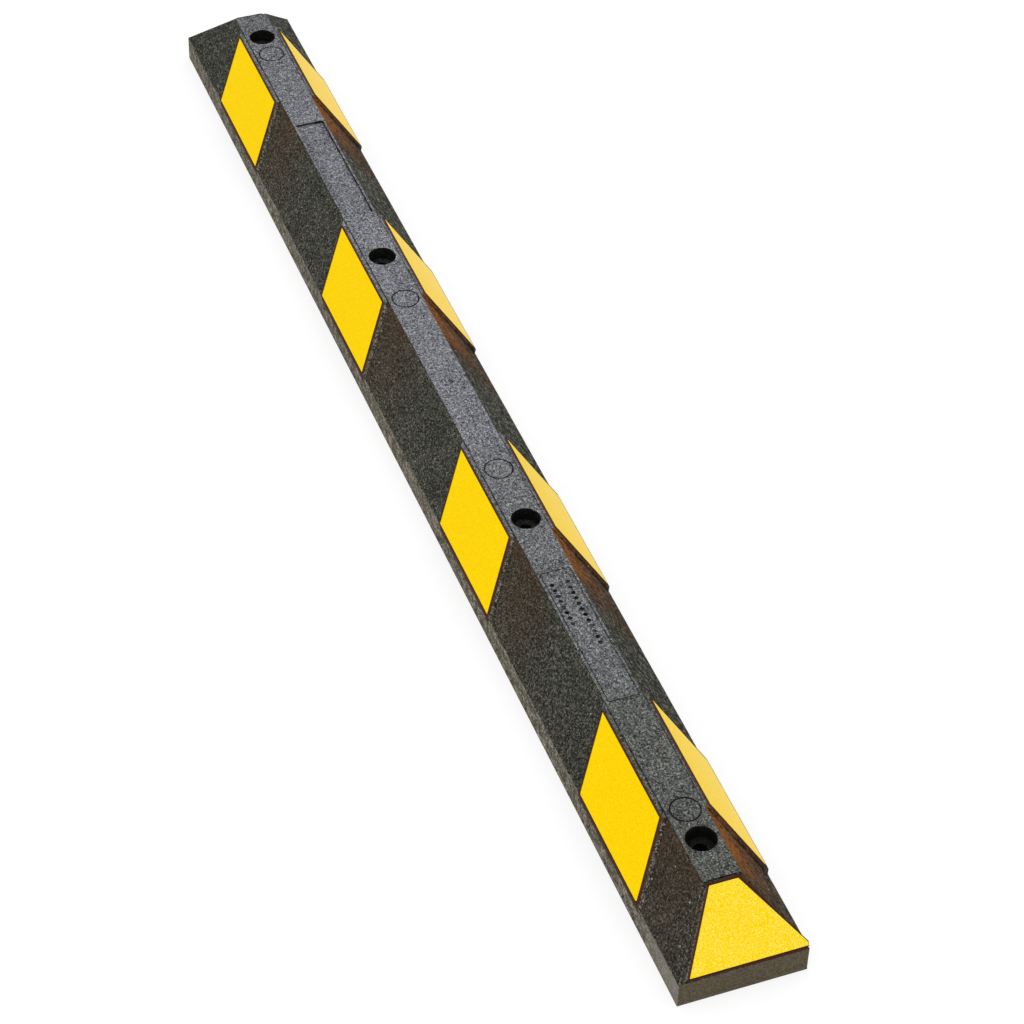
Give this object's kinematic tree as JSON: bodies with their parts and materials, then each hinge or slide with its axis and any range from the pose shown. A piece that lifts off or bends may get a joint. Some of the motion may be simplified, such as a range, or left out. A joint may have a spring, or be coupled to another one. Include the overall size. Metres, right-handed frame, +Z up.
{
  "type": "wheel stop",
  "caption": "Low moulded rubber bar with sloping sides and ends, stepped anchor holes down through its flat top and yellow reflective tape on raised pads, to stop a parked car's wheels.",
  "frame": {"origin": "middle of the bar's underside, on the ground", "axes": "+X along the bar, towards the end that is nearest in the picture and the way the panels' feet lean; +Y across the bar, towards the picture's right; +Z up"},
  "size_m": [1.83, 0.1532, 0.1],
  "materials": {
    "crumb_rubber": "moulded, matt, granular",
    "reflective_tape": "retroreflective sheeting, satin"
  },
  "bodies": {
    "root": {"rubber_body": "crumb_rubber", "left_reflective_tape_1": "reflective_tape", "left_reflective_tape_2": "reflective_tape", "left_reflective_tape_3": "reflective_tape", "left_reflective_tape_4": "reflective_tape", "right_reflective_tape_1": "reflective_tape", "right_reflective_tape_2": "reflective_tape", "right_reflective_tape_3": "reflective_tape", "right_reflective_tape_4": "reflective_tape", "front_end_reflective_tape": "reflective_tape", "rear_end_reflective_tape": "reflective_tape"}
  },
  "joints": []
}
